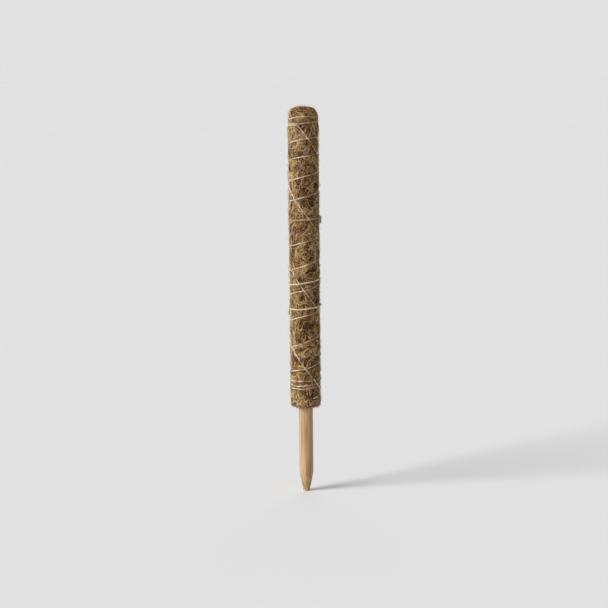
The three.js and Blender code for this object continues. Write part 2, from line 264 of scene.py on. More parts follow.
def wound_back(down_angles, down_heights):
    """The return from the lower end up to the second turn, over the winding."""
    first = (TWINE_START - TWINE_END) / TURN
    second_pass = round((first - math.floor(first) + 1) * LOOP_STEPS)
    end_height = down_heights[second_pass] - TWINE_DIAMETER - RETURN_TUCK_GAP
    rise = end_height - down_heights[-1]
    part = (down_angles[-1] - TWINE_END) / TURN
    share = part - math.floor(part)
    turns = max(round(rise / RETURN_PITCH - share), 1) + share
    steps = round(turns * MAT_ROUND / RETURN_STEP)
    gone = turns * (np.arange(steps) + 0.5) / steps
    slant = 1 + RETURN_SLANT * np.cos(down_angles[-1] - TURN * gone - FRONT)
    rates = slant * eased(gone, 0.0, RETURN_SETTING_OUT) * eased(turns - gone, *RETURN_SETTLING)
    walked = turns * (np.arange(steps) + 1) / steps
    angles = down_angles[-1] - TURN * walked
    heights = down_heights[-1] + rise * np.cumsum(rates) / rates.sum()
    down_turns = np.arange(len(down_angles) - 1) / LOOP_STEPS
    point_turns = (len(down_angles) - 1) / LOOP_STEPS + walked
    counts = point_turns[:, None] - down_turns[None] > CROSSING_TURNS
    down = (down_angles, down_heights, np.zeros(len(down_angles)))
    return angles, heights, lift_over(angles, heights, down, TWINE_DIAMETER, counts)


def laid_twine():
    """The whole twine as angles, heights and lifts, about half a millimetre apart."""
    down_angles, down_heights = wound_down()
    back_angles, back_heights, back_lifts = wound_back(down_angles, down_heights)
    steps = np.arange(len(down_angles))
    fine = np.linspace(0, steps[-1], steps[-1] * FINE_STEPS + 1)
    angles = np.concatenate([np.interp(fine, steps, down_angles), back_angles])
    heights = np.concatenate([np.interp(fine, steps, down_heights), back_heights])
    lifts = np.concatenate([np.zeros(len(fine)), back_lifts])
    return angles, heights, lifts


def on_pole(angles, heights, radius):
    """Points in metres at angles and heights, at a radius in millimetres."""
    return np.stack([radius * np.cos(angles), radius * np.sin(angles), heights], axis=-1) * MM


def spaced(points, step):
    """A route of the same shape with even steps."""
    lengths = np.linalg.norm(np.diff(points, axis=0), axis=1)
    walked = np.concatenate([[0.0], np.cumsum(lengths)])
    marks = np.linspace(0, walked[-1], max(round(walked[-1] / step), 2) + 1)
    return np.stack([np.interp(marks, walked, points[:, i]) for i in range(points.shape[1])], axis=1)


def rounded(corners, parts=8):
    """A smooth route through a few points, with so many parts from each to the next."""
    corners = np.asarray(corners, dtype=float)
    padded = np.vstack([2 * corners[0] - corners[1], corners, 2 * corners[-1] - corners[-2]])
    t = np.linspace(0, 1, parts, endpoint=False)[:, None]
    pieces = []
    for a, b, c, d in zip(padded[:-3], padded[1:-2], padded[2:-1], padded[3:]):
        pieces.append(0.5 * (2 * b + (c - a) * t + (2 * a - 5 * b + 4 * c - d) * t**2
                             + (3 * b - a - 3 * c + d) * t**3))
    return np.vstack(pieces + [corners[-1:]])


def laid_tie(tie, twine):
    """A tie's route: one end, half of the knot, once round the pole, the other half and the other end."""
    middle = tie["knot"] * MAT_OUTSIDE

    def height_at(around):
        return tie["height"] + tie["tilt"] / 2 * math.sin(around / MAT_OUTSIDE - FRONT)

    knot_height = height_at(middle)

    def knot(start, side):
        steps = []
        for part in np.linspace(0, 1, KNOT_STEPS):
            phase = math.pi + TURN * KNOT_TURNS * part
            steps.append([start + KNOT_HALF * (1 - 2 * part),
                          knot_height + side * KNOT_GAP * math.cos(phase),
                          KNOT_GAP * (1 + side * math.sin(phase))])
        return steps

    def hanging_end(start, side):
        return [[start + side * (TIE_END_SPREAD + bend["wider"]),
                 knot_height - TIE_END_DROP * bend["drop"],
                 bend["lift"]] for bend in TIE_END_BENDS]

    corners = hanging_end(middle, 1) + knot(middle, 1)
    for i in range(2, TIE_STEPS - 1):
        around = middle - MAT_ROUND * i / TIE_STEPS
        corners.append([around, height_at(around), 0.0])
    corners += knot(middle - MAT_ROUND, -1) + hanging_end(middle - MAT_ROUND, -1)[::-1]
    route = spaced(rounded(corners), TIE_SPACING)
    angles = route[:, 0] / MAT_OUTSIDE
    lifts = lift_over(angles, route[:, 1], twine, TWINE_DIAMETER)
    return angles, route[:, 1], route[:, 2] + lifts


twine_route = laid_twine()
tie_routes = {name: laid_tie(tie, twine_route) for name, tie in TIES.items()}


# The mat's outside: how far the coir stands out of its plain shape, in millimetres

BEND_PARTS = 16
TOP_PARTS = 8
MARK_EVERY = 3
STAPLE_MARKS = 11
GRIP_EVEN = 0.85
GRIP_UNEVEN = 0.3
GRIP_LOST = 0.3
THREAD_PRESS = 1.1
THREAD_REACH = (0.6, 8.5)
STAPLE_PRESS = 1.5
STAPLE_REACH = (0.9, 5.0)
STAPLE_ZONE = STAPLE_HEIGHT + STAPLE_STAGGER + 12.0
SEAM_DIP = 1.2
SEAM_REACH = (0.4, 2.6)
CROWN_TAPER = 1.0
CROWN_TAPER_START = CROWN_SHOULDER - 36.0
CROWN_TAPER_END = CROWN_SHOULDER - 10.0
SHOULDER_SWELL = 1.15
SHOULDER_LEAN = 0.55
SHOULDER_WIDTH = 5.5
TOP_SWELL = 1.9
TOP_SWELL_END = CROWN_BEND + 8.0


def mat_outline():
    """Distances along the mat from its lower edge, with the radius, height and outward direction there."""
    bend = np.linspace(0, QUARTER, BEND_PARTS + 1)
    top = np.linspace(0, 1, TOP_PARTS + 1)[1:]
    corner = MAT_OUTSIDE - CROWN_RADIUS
    slope = math.hypot(corner, CROWN_RISE)
    rounding = ROUNDING_START + CROWN_RADIUS * bend
    distance = np.concatenate([[0.0], rounding, rounding[-1] + slope * top])
    radius = np.concatenate([[MAT_OUTSIDE], corner + CROWN_RADIUS * np.cos(bend), corner * (1 - top)])
    rising = ROUNDING_START + CROWN_RADIUS * np.sin(bend)
    height = np.concatenate([[0.0], rising, CROWN_SHOULDER + CROWN_RISE * top])
    out = np.concatenate([[1.0], np.cos(bend), np.full(TOP_PARTS, CROWN_RISE / slope)])
    up = np.concatenate([[0.0], np.sin(bend), np.full(TOP_PARTS, corner / slope)])
    return distance, radius, height, out, up


OUTLINE = mat_outline()
MAT_LENGTH = OUTLINE[0][-1]


def on_mat(angles, along, proud):
    """Points in metres that stand proud of the mat, at angles and distances along it."""
    radius, height, out, up = (np.interp(along, OUTLINE[0], column) for column in OUTLINE[1:])
    reach = radius + proud * out
    return np.stack([reach * np.cos(angles), reach * np.sin(angles), height + proud * up], axis=-1) * MM


def thread_marks():
    """Places on the unrolled mat along all threads."""
    marks = []
    for angles, heights, _ in [twine_route, *tie_routes.values()]:
        marks += zip(angles[::MARK_EVERY] * MAT_OUTSIDE, heights[::MARK_EVERY])
    return np.array(marks)


def staple_marks():
    """Places on the unrolled mat along the crowns of the lower staples."""
    marks = []
    for i in range(STAPLE_COUNT):
        middle = (STAPLE_ANGLE + TURN * i / STAPLE_COUNT) * MAT_OUTSIDE
        height = STAPLE_HEIGHT + STAPLE_STAGGER * (i % 2)
        across = np.linspace(-STAPLE_WIDTH / 2, STAPLE_WIDTH / 2, STAPLE_MARKS)
        marks += [(middle + x, height) for x in across]
    return np.array(marks)


def marked(places):
    """A search tree of places on the unrolled mat, joined across its edge."""
    tree = KDTree(len(places) * 3)
    for i, shift in enumerate((-MAT_ROUND, 0.0, MAT_ROUND)):
        for k, (around, along) in enumerate(places):
            tree.insert((around % MAT_ROUND + shift, along, 0.0), i * len(places) + k)
    tree.balance()
    return tree


thread_places = thread_marks()
threads_tree = marked(thread_places)
staples_tree = marked(staple_marks())


def distances(tree, angles, along):
    """How far places on the mat lie from the nearest mark of a tree."""
    flat = np.stack([(angles * MAT_OUTSIDE) % MAT_ROUND, along], axis=-1).reshape(-1, 2)
    found = [tree.find((x, y, 0.0))[2] for x, y in flat.tolist()]
    return np.array(found).reshape(angles.shape)


def slackness(angles):
    """From 0 to 1, how slack the threads lie round the pole: most to the right of the front."""
    return beside(angles, SLACK_SIDE, SLACK_WIDTH)


def grip(angles, along):
    """How hard the threads press the mat in, about 1."""
    uneven = slanted(angles, along, 2, 9) * slanted(angles, along, 5, -23, 0.7)
    return GRIP_EVEN + GRIP_UNEVEN * uneven - GRIP_LOST * slackness(angles)


def crown_taper(along):
    """How much slimmer the close turns draw the pole just under its crown."""
    return -CROWN_TAPER * eased(along, CROWN_TAPER_START, CROWN_TAPER_END)


def fullness(angles, along):
    """How far the coir stands out: pressed in under threads, staples and seam, and swollen at the crown."""
    clear = eased(distances(threads_tree, angles, along), *THREAD_REACH)
    swell = blended(-THREAD_PRESS * grip(angles, along), 0.0, clear)
    swell = swell + crown_taper(along)
    low = along < STAPLE_ZONE
    if np.any(low):
        pressed = STAPLE_PRESS * (1 - eased(distances(staples_tree, angles, along), *STAPLE_REACH))
        swell = swell - np.where(low, pressed, 0.0)
    dip = SEAM_DIP * (1 - eased(np.abs(apart(angles, MAT_SEAM)) * MAT_OUTSIDE, *SEAM_REACH))
    swell = swell - np.where(along < ROUNDING_START, dip, 0.0)
    shoulder = np.exp(-((along - CROWN_BEND) / SHOULDER_WIDTH) ** 2)
    swell = swell + shoulder * (SHOULDER_SWELL - SHOULDER_LEAN * np.cos(angles))
    return swell + TOP_SWELL * eased(along, CROWN_BEND, TOP_SWELL_END)


# Making of pieces

CELL_RINGS = 16
CELL_EDGE = 0.08
TIP_RINGS = 1.6
TIP_SHARE = 0.01
TIP_MERGE = 0.02


def add_piece(name, mesh, finish, slot, *replaced):
    """An object of the pole that rides on its one body."""
    mesh.name = name
    mesh.materials.clear()
    mesh.materials.append(finish)
    piece = bpy.data.objects.new(name, mesh)
    bpy.context.scene.collection.objects.link(piece)
    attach(piece, "root")
    if replaced:
        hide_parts(*replaced)


def map_strands(mesh, rings, sides, cell_rings):
    """Gives each stretch of a strand its own cell of the bake map, so that no two share a pixel."""
    corners = np.empty(len(mesh.loops), dtype=np.int32)
    mesh.loops.foreach_get("vertex_index", corners)
    faces = corners.reshape(-1, 4)
    ring = faces // sides
    side = faces % sides
    first = ring.min(axis=1)
    strand = first // rings
    place = first % rings
    cells_each = math.ceil((rings - 1) / cell_rings)
    cell = strand * cells_each + place // cell_rings
    cell_count = int(cell.max()) + 1
    columns = max(math.ceil(math.sqrt(cell_count * sides / cell_rings)), 1)
    rows = math.ceil(cell_count / columns)
    along = (ring - first[:, None] + (place % cell_rings)[:, None]) / cell_rings
    wraps = (side == sides - 1).any(axis=1) & (side == 0).any(axis=1)
    across = np.where(wraps[:, None] & (side == 0), sides, side) / sides
    inside = 1 - 2 * CELL_EDGE
    u = ((cell % columns)[:, None] + CELL_EDGE + inside * along) / columns
    v = ((cell // columns)[:, None] + CELL_EDGE + inside * across) / rows
    for layer in list(mesh.uv_layers):
        mesh.uv_layers.remove(layer)
    layer = mesh.uv_layers.new(name="OFBake")
    layer.uv.foreach_set("vector", np.stack([u, v], axis=-1).astype(np.float32).ravel())


def close_tips(mesh, count, rings, sides):
    """Draws the last ring at each end of each strand together into one point."""
    shape = bmesh.new()
    shape.from_mesh(mesh)
    shape.verts.ensure_lookup_table()
    tips = []
    for strand in range(count):
        start = strand * rings * sides
        tips += shape.verts[start:start + sides]
        tips += shape.verts[start + (rings - 1) * sides:start + rings * sides]
    bmesh.ops.remove_doubles(shape, verts=tips, dist=TIP_MERGE * MM)
    shape.to_mesh(mesh)
    shape.free()


def tapered(thickness, rings):
    """Radii of strands that are even along their length and thin out over the last rings."""
    place = np.arange(rings)
    ends = np.minimum(place, rings - 1 - place) / TIP_RINGS
    shape = np.maximum(np.sqrt(np.clip(ends, 0.0, 1.0)), TIP_SHARE)
    return thickness[:, None] / 2 * shape[None]


def strand_mesh(name, paths, thickness, tones, sides, blush):
    """Round strands that run to a point at both ends, from paths in metres and thicknesses in millimetres."""
    curve = bpy.data.curves.new(name, "CURVE")
    curve.dimensions = "3D"
    curve.bevel_depth = MM
    curve.bevel_resolution = sides // 2 - 2
    rings = paths.shape[1]
    for path, radius in zip(paths, tapered(thickness, rings)):
        spline = curve.splines.new("POLY")
        spline.points.add(rings - 1)
        spline.points.foreach_set("co", np.c_[path, np.ones(rings)].astype(np.float32).ravel())
        spline.points.foreach_set("radius", radius.astype(np.float32))
    maker = bpy.data.objects.new(name, curve)
    bpy.context.scene.collection.objects.link(maker)
    graph = bpy.context.evaluated_depsgraph_get()
    mesh = bpy.data.meshes.new_from_object(maker.evaluated_get(graph))
    bpy.data.objects.remove(maker)
    bpy.data.curves.remove(curve)
    map_strands(mesh, rings, sides, min(rings - 1, CELL_RINGS))
    for label, values in (("tone", tones), ("blush", draw.uniform(*blush, len(paths)))):
        layer = mesh.attributes.new(label, "FLOAT", "POINT")
        layer.data.foreach_set("value", np.repeat(values, rings * sides).astype(np.float32))
    mesh.polygons.foreach_set("use_smooth", np.ones(len(mesh.polygons), dtype=bool))
    close_tips(mesh, len(paths), rings, sides)
    return mesh


def add_strands(name, layers, sides, finish, slot, *replaced, blush=(0.0, 1.0)):
    """A piece of strands, from layers that each hold paths, thicknesses and tones."""
    paths, thickness, tones = (np.concatenate(column) for column in zip(*layers))
    add_piece(name, strand_mesh(name, paths, thickness, tones, sides, blush), finish, slot, *replaced)


# Coir: lengths and curls in millimetres, headings and spreads in radians, tones from 0 for dark to 1 for pale

FIBRE_RINGS = 9
FIBRE_SIDES = 4
THREAD_SIDES = 6
FIBRE_WOBBLE = 0.05
FIBRE_LOWEST = 0.5
FIBRE_HIGHEST = MAT_LENGTH - 2.0
BUNDLE_FAN = 0.09
BUNDLE_BENDS = (0.8, 1.2)
SWIRL_TURN = 0.32
SWIRL_LOST = 0.85
LOOSE_LOST = 0.8
TONE_SPREAD = 0.07
PATCH_TONE = 0.05
PAINTED_LIGHT_TONE = 0.15
SIDE_TONE = -0.03
ARCH = np.sin(np.linspace(0, math.pi, FIBRE_RINGS))[None]
ARCH_LEVEL = 0.6

BANDS = 6
# Tones rise from the sunk ground layer to the proud top layers: partly the fibres' own range, partly painted
# shade in the gaps between them
GROUND = {"thickness": (0.45, 0.75), "proud": (-1.3, -0.6), "tone": (0.0, 0.25)}
UNDER = {"thickness": (0.34, 0.52), "proud": (-0.6, 0.1), "tone": (0.05, 0.5)}
OVER = {"thickness": (0.38, 0.56), "proud": (0.1, 0.8), "tone": (0.62, 1.1)}
FINE = {"thickness": (0.2, 0.3), "proud": (0.3, 0.9), "tone": (0.7, 1.0)}
LONG = {"thickness": (0.3, 0.44), "proud": (0.8, 1.1), "tone": (0.9, 1.1)}
CROWN_OVER = {"thickness": (0.36, 0.54), "proud": (0.1, 0.8), "tone": (0.58, 1.0)}
EDGE_OVER = {"thickness": (0.34, 0.52), "proud": (-0.5, 0.5), "tone": (0.3, 0.95)}
SIDE_LAYERS = [
    {"bundles": 400, "members": 2, "step": 2.4, "curl": 9.0, "spread": 0.7, **GROUND},
    {"bundles": 115, "members": 4, "step": 2.3, "curl": 9.0, "spread": 0.6, **UNDER},
    {"bundles": 125, "members": 4, "step": 2.3, "curl": 7.5, "spread": 0.6, **OVER},
    {"bundles": 130, "members": 2, "step": 2.8, "curl": 14.0, "spread": 0.45, **FINE},
    {"bundles": 9, "members": 5, "step": 3.4, "curl": 22.0, "spread": 0.6, **LONG},
]
CROWN_LAYERS = [
    {"bundles": 260, "members": 2, "step": 2.2, "curl": 8.0, **GROUND},
    {"bundles": 70, "members": 4, "step": 2.2, "curl": 7.0, **UNDER},
    {"bundles": 70, "members": 4, "step": 2.2, "curl": 6.0, **CROWN_OVER},
]
CROWN_BLUSH = (0.4, 1.4)
EDGE_LAYER = {"bundles": 60, "members": 4, "step": 1.8, "curl": 6.5, "spread": 1.0, **EDGE_OVER}
EDGE_BAND = 14.0


def combed(around):
    """From 0 to 1, how straight and upright the fibres lie: combed at the left of the mat, else matted."""
    return beside(around / MAT_OUTSIDE, COMBED_SIDE, COMBED_WIDTH)


def painted_light(around):
    """From 0 to 1, painted light on the mat: palest a little to the left of the front, on the side towards
    the lamp.
    """
    return beside(around / MAT_OUTSIDE, PAINTED_LIGHT_SIDE, PAINTED_LIGHT_WIDTH)


def nap(around, along):
    """The way that most fibres lie at a place on the mat: upright in some patches, swirled in others."""
    angle = around / MAT_OUTSIDE
    swirl = slanted(angle, along, 2, 31) + slanted(angle, along, 3, -19, 1.3) + slanted(angle, along, 5, 13)
    return QUARTER + SWIRL_TURN * swirl * (1 - SWIRL_LOST * combed(around))


def patch(around, along):
    """Paler and darker patches of the mat, from -1 to 1."""
    angle = around / MAT_OUTSIDE
    waves = slanted(angle, along, 3, 17, 2.0) + slanted(angle, along, 4, -11) + slanted(angle, along, 7, 7)
    return waves / 3


def grown(x, y, heading, bend, step, wobble=FIBRE_WOBBLE):
    """Follows fibres over the flat mat from their roots, each turning at its own rate."""
    route = np.empty((len(x), FIBRE_RINGS, 2))
    for i in range(FIBRE_RINGS):
        route[:, i, 0] = x
        route[:, i, 1] = y
        heading = heading + (bend + draw.normal(0, wobble, len(x))) * step
        x = x + np.cos(heading) * step
        y = y + np.sin(heading) * step
    return route


def grown_bundles(x, y, heading, bend, members, gaps, step):
    """Follows bundles of fibres, whose members start a little apart and fan out."""
    x, y, heading, bend = (np.repeat(values, members) for values in (x, y, heading, bend))
    count = len(x)
    return grown(x + draw.normal(0, gaps[0], count),
                 y + draw.normal(0, gaps[1], count),
                 heading + draw.normal(0, BUNDLE_FAN, count),
                 bend * draw.uniform(*BUNDLE_BENDS, count),
                 step)


def member_tones(shade, members):
    """The tone of each fibre, close to that of its bundle."""
    tones = np.repeat(shade, members)
    return np.clip(tones + draw.normal(0, TONE_SPREAD, len(tones)), 0, 1)


def side_fibres(low, high, bundles, members, step, curl, spread, thickness, proud, tone):
    """Felted fibres in loose bundles over a band of the mat: their paths, thicknesses and tones."""
    gaps = (0.38, 0.8)
    bow = (0.2, 1.0)
    lowest = 0.6
    highest = ROUNDING_START + 6.0
    around = draw.uniform(0, MAT_ROUND, bundles)
    along = draw.uniform(low, high, bundles)
    loose = 1 - LOOSE_LOST * combed(around)
    heading = nap(around, along) + draw.normal(0, spread, bundles) * loose
    heading = heading + math.pi * draw.integers(0, 2, bundles)
    bend = draw.normal(0, 1, bundles) / curl * loose
    shade = draw.uniform(*tone, bundles) + PATCH_TONE * patch(around, along)
    # painted light: the fibres are paler on the side towards the lamp
    shade = shade + PAINTED_LIGHT_TONE * painted_light(around) + SIDE_TONE
    route = grown_bundles(around, along, heading, bend, members, gaps, step)
    height = np.abs(route[:, :, 1] - lowest) + lowest
    height = highest - np.abs(highest - height)
    angles = route[:, :, 0] / MAT_OUTSIDE
    count = len(route)
    stand = draw.uniform(*proud, count)[:, None] + draw.uniform(*bow, count)[:, None] * (ARCH - ARCH_LEVEL)
    paths = on_mat(angles, height, fullness(angles, height) + stand)
    return paths, draw.uniform(*thickness, count), member_tones(shade, members)


def crown_fibres(bundles, members, step, curl, thickness, proud, tone):
    """Loose bundles that cross the folded top in all directions and run a little way down the side."""
    gaps = (0.6, 0.6)
    bow = 0.4
    lump = 0.2
    furthest = 40.0
    painted_light_share = 0.22
    painted_light_reach = (6.0, 22.0)
    painted_shade_share = 0.1
    painted_shade_reach = (6.0, 18.0)
    reach = furthest * np.sqrt(draw.uniform(0, 1, bundles))
    turn = draw.uniform(0, TURN, bundles)
    heading = draw.uniform(0, TURN, bundles)
    bend = draw.normal(0, 1, bundles) / curl
    # painted light and shade: crown fibres are paler on the side towards the lamp and darker on the far side
    paler = painted_light_share * np.cos(turn - COMBED_SIDE) * eased(reach, *painted_light_reach)
    # painted shade: the middle of the crown's top is darkened
    darker = painted_shade_share * (1 - eased(reach, *painted_shade_reach))
    shade = draw.uniform(*tone, bundles) + paler - darker
    route = grown_bundles(reach * np.cos(turn), reach * np.sin(turn), heading, bend, members, gaps, step)
    angles = np.arctan2(route[:, :, 1], route[:, :, 0])
    along = MAT_LENGTH - np.hypot(route[:, :, 0], route[:, :, 1])
    count = len(route)
    stand = draw.uniform(*proud, count)[:, None] + bow * (ARCH - ARCH_LEVEL)
    stand = fullness(angles, along) + stand + lump * patch(angles * MAT_OUTSIDE, along)
    return on_mat(angles, along, stand), draw.uniform(*thickness, count), member_tones(shade, members)


def scattered(count):
    """Places all over the mat."""
    lowest = 2.0
    highest = MAT_LENGTH - 6.0
    return draw.uniform(0, MAT_ROUND, count), draw.uniform(lowest, highest, count)


def beside_threads(count):
    """Places just off the threads, from where a fibre arches over one."""
    off = 6.0
    marks = thread_places[draw.integers(0, len(thread_places), count)]
    return marks[:, 0] + draw.normal(0, off, count), marks[:, 1] + draw.normal(0, off, count)


def stray_fibres(roots, step, reach, closed, thickness):
    """Single fibres that have worked loose and arch over the mat, or stand off it with a free end."""
    curl = 9.0
    wobble = 0.07
    looseness = (0.25, 1.0)
    tone = (0.45, 1.0)
    around, along = roots
    count = len(around)
    heading = draw.uniform(0, TURN, count)
    route = grown(around, along, heading, draw.normal(0, 1, count) / curl, step, wobble)
    angles = route[:, :, 0] / MAT_OUTSIDE
    height = np.clip(route[:, :, 1], FIBRE_LOWEST, FIBRE_HIGHEST)
    out = np.linspace(0, 1, FIBRE_RINGS)[None]
    loose = draw.uniform(*looseness, count)[:, None] * reach
    closing = draw.uniform(0, 1, count)[:, None] < closed
    lift = np.where(closing, np.sin(out * math.pi), out**1.5) * loose
    paths = on_mat(angles, height, fullness(angles, height) + lift)
    return paths, draw.uniform(*thickness, count), draw.uniform(*tone, count)


def laid_strands(courses, members):
    """Small bundles pulled out of the mat, laid over it along courses of degrees and heights."""
    gap = 0.28
    proud = 1.15
    thickness = (0.36, 0.5)
    tone = (0.85, 1.0)
    routes = []
    for course in courses:
        corners = [((FRONT + math.radians(degrees)) * MAT_OUTSIDE, height) for degrees, height in course]
        smooth = rounded(corners)
        picked = smooth[np.linspace(0, len(smooth) - 1, FIBRE_RINGS).round().astype(int)]
        routes += [picked + draw.normal(0, gap, 2) for _ in range(members)]
    routes = np.array(routes)
    angles = routes[:, :, 0] / MAT_OUTSIDE
    paths = on_mat(angles, routes[:, :, 1], fullness(angles, routes[:, :, 1]) + proud)
    return paths, draw.uniform(*thickness, len(routes)), draw.uniform(*tone, len(routes))


def cover_fibres(count, step):
    """Short fibres that have closed over the threads, most of them where the threads lie slack."""
    curl = 14.0
    off = 1.2
    spread = 0.45
    sunk = 0.4
    arch_height = (1.3, 1.8)
    thickness = (0.3, 0.46)
    tone = (0.15, 0.8)
    least = 0.2
    share = least + slackness(thread_places[:, 0] / MAT_OUTSIDE)
    picked = draw.choice(len(thread_places), count, p=share / share.sum())
    middle = thread_places[picked] + draw.normal(0, off, (count, 2))
    heading = nap(middle[:, 0], middle[:, 1]) + draw.normal(0, spread, count)
    half = step * (FIBRE_RINGS - 1) / 2
    around = middle[:, 0] - np.cos(heading) * half
    along = middle[:, 1] - np.sin(heading) * half
    route = grown(around, along, heading, draw.normal(0, 1, count) / curl, step)
    height = np.clip(route[:, :, 1], FIBRE_LOWEST, FIBRE_HIGHEST)
    stand = draw.uniform(*arch_height, count)[:, None] * np.sqrt(ARCH) - sunk + crown_taper(height)
    paths = on_mat(route[:, :, 0] / MAT_OUTSIDE, height, stand)
    return paths, draw.uniform(*thickness, count), draw.uniform(*tone, count)


def edge_fibres(count):
    """Cut fibre ends that hang from the lower edge of both layers."""
    rise = 3.0
    drops = (0.4, 3.6)
    lean = 1.4
    thickness = (0.24, 0.44)
    tone = (0.15, 0.9)
    outside = MAT_OUTSIDE + 0.3
    radius = np.sqrt(draw.uniform(WRAP_INSIDE**2, outside**2, count))
    angle = draw.uniform(0, TURN, count)
    drop = draw.uniform(*drops, count)
    part = 1 - np.linspace(1, 0, FIBRE_RINGS)[None] ** 2
    aside = draw.normal(0, lean, (2, count))[:, :, None] * part**1.5
    x = radius[:, None] * np.cos(angle)[:, None] + aside[0]
    y = radius[:, None] * np.sin(angle)[:, None] + aside[1]
    z = rise - (rise + drop[:, None]) * part
    return np.stack([x, y, z], axis=-1) * MM, draw.uniform(*thickness, count), draw.uniform(*tone, count)


# Turned and felted bodies


def spun(corners, steps=96, long_cuts=0):
    """Spins a few corners of radius and height about the axis, and divides the long walls."""
    long_wall = 100.0
    shape = bmesh.new()
    verts = [shape.verts.new((radius * MM, 0.0, height * MM)) for radius, height in corners]
    edges = [shape.edges.new(pair) for pair in zip(verts, verts[1:])]
    on_axis = corners[0][0] == 0 and corners[-1][0] == 0
    if not on_axis:
        edges.append(shape.edges.new((verts[-1], verts[0])))
    bmesh.ops.spin(shape, geom=verts + edges, cent=(0, 0, 0), axis=(0, 0, 1), angle=TURN, steps=steps,
                   use_merge=True)
    bmesh.ops.remove_doubles(shape, verts=shape.verts, dist=TINY)
    if long_cuts:
        long_edges = [edge for edge in shape.edges if edge.calc_length() > long_wall * MM]
        bmesh.ops.subdivide_edges(shape, edges=long_edges, cuts=long_cuts, use_grid_fill=True)
    bmesh.ops.recalc_face_normals(shape, faces=shape.faces)
    return shape


def arc(centre_radius, centre_height, radius, start, end, points):
    turns = np.linspace(start, end, points)
    return [(centre_radius + radius * math.cos(t), centre_height + radius * math.sin(t)) for t in turns]


def to_mesh(shape, name):
    mesh = bpy.data.meshes.new(name)
    for face in shape.faces:
        face.smooth = True
    shape.to_mesh(mesh)
    shape.free()
    return mesh


def lumpy(place, size, amount):
    """Lumps of a size and height in millimetres."""
    return noise.fractal(Vector(place) / (size * MM), 0.8, 2.0, 3) * amount


def mat_felt():
    """The body of the outer mat under its fibres, with the fold at the top and the seam at the back."""
    sunk = 1.5
    groove_half = 0.5
    groove_depth = 2.6
    outside_wall = (MAT_INSIDE + 1.0) * MM
    outside_fold = (FOLD_UNDERSIDE + 2.0) * MM
    corner = MAT_OUTSIDE - CROWN_RADIUS
    corners = [(0.0, COIR_LENGTH - sunk), (corner / 2, COIR_LENGTH - sunk - CROWN_RISE / 2)]
    corners += arc(corner, ROUNDING_START, CROWN_RADIUS - sunk, QUARTER, 0, points=7)
    corners += [(MAT_OUTSIDE - sunk, 0.0), (MAT_INSIDE, 0.0)]
    corners += arc(MAT_INSIDE - FOLD_FILLET, FOLD_UNDERSIDE - FOLD_FILLET, FOLD_FILLET, 0, QUARTER, points=4)
    corners += [(0.0, FOLD_UNDERSIDE)]
    shape = spun(corners, long_cuts=150)
    outer = [vert for vert in shape.verts if vert.co.xy.length > outside_wall or vert.co.z > outside_fold]
    places = np.array([vert.co[:] for vert in outer]) / MM
    angles = np.arctan2(places[:, 1], places[:, 0])
    swell = fullness(angles, places[:, 2])
    seam = np.abs(apart(angles, MAT_SEAM)) * MAT_OUTSIDE
    groove = np.where((seam < groove_half) & (places[:, 2] < ROUNDING_START), groove_depth, 0.0)
    for vert, amount, cut in zip(outer, swell, groove):
        top = vert.co.z > ROUNDING_START * MM
        out = Vector((0, 0, 1)) if top else Vector((vert.co.x, vert.co.y, 0)).normalized()
        vert.co += out * MM * (amount + lumpy(vert.co, size=4.5, amount=0.45) - cut)
    return to_mesh(shape, "coir_mat_felt")


def wrap_felt():
    """The inner layer, with its butted seam."""
    sunk = 0.3
    groove_half = 0.4
    groove_depth = 3.0
    outside_wall = (WRAP_INSIDE + 1.0) * MM
    corners = [(WRAP_INSIDE, 0.0), (WRAP_OUTSIDE, 0.0), (WRAP_OUTSIDE, STAKE_TOP), (WRAP_INSIDE, STAKE_TOP)]
    shape = spun(corners, long_cuts=90)
    for vert in shape.verts:
        out = Vector((vert.co.x, vert.co.y, 0))
        if out.length < outside_wall:
            continue
        seam = abs(apart(math.atan2(vert.co.y, vert.co.x), WRAP_SEAM)) * WRAP_OUTSIDE
        cut = groove_depth if seam < groove_half else 0.0
        vert.co += out.normalized() * MM * (lumpy(vert.co, size=3.0, amount=0.3) - sunk - cut)
    return to_mesh(shape, "inner_wrap_felt")


def wad_felt():
    """Loose coir over the end of the stake."""
    radius = MAT_INSIDE - CLEARANCE
    edge = FOLD_FILLET - CLEARANCE
    corners = [(0.0, WAD_BOTTOM), (radius / 2, WAD_BOTTOM), (radius, WAD_BOTTOM)]
    corners += arc(radius - edge, WAD_TOP - edge, edge, 0, QUARTER, points=4)
    corners += [(radius / 2, WAD_TOP), (0.0, WAD_TOP)]
    shape = spun(corners, steps=48)
    middle = Vector((0, 0, (WAD_TOP + WAD_BOTTOM) / 2 * MM))
    for vert in shape.verts:
        vert.co += (middle - vert.co).normalized() * MM * abs(lumpy(vert.co, size=3.0, amount=0.6))
    return to_mesh(shape, "crown_wad_felt")


def ring_edges(shape, height, outside=0.0):
    """The edges at a height, further out than a radius."""
    def on_ring(vert):
        return abs(vert.co.z - height * MM) < TINY and vert.co.xy.length > outside * MM

    return [edge for edge in shape.edges if all(on_ring(vert) for vert in edge.verts)]


def soften(shape, edges, width):
    bmesh.ops.bevel(shape, geom=edges, offset=width * MM, offset_type="OFFSET", affect="EDGES", segments=3,
                    profile=0.5, material=-1)


def stake_body():
    """The turned stake with a tapered foot and broken edges."""
    foot = -SHANK_LENGTH
    taper = foot + FOOT_LENGTH
    corners = [(0.0, foot), (FOOT_RADIUS, foot), (STAKE_RADIUS, taper)]
    corners += [(STAKE_RADIUS, STAKE_TOP - STAKE_CHAMFER), (STAKE_RADIUS - STAKE_CHAMFER, STAKE_TOP)]
    corners += [(0.0, STAKE_TOP)]
    shape = spun(corners)
    rim = ring_edges(shape, foot, outside=1.0)
    shoulder = ring_edges(shape, taper)
    soften(shape, rim, width=0.7)
    soften(shape, shoulder, width=1.6)
    return to_mesh(shape, "turned_stake")


# Twine and ties


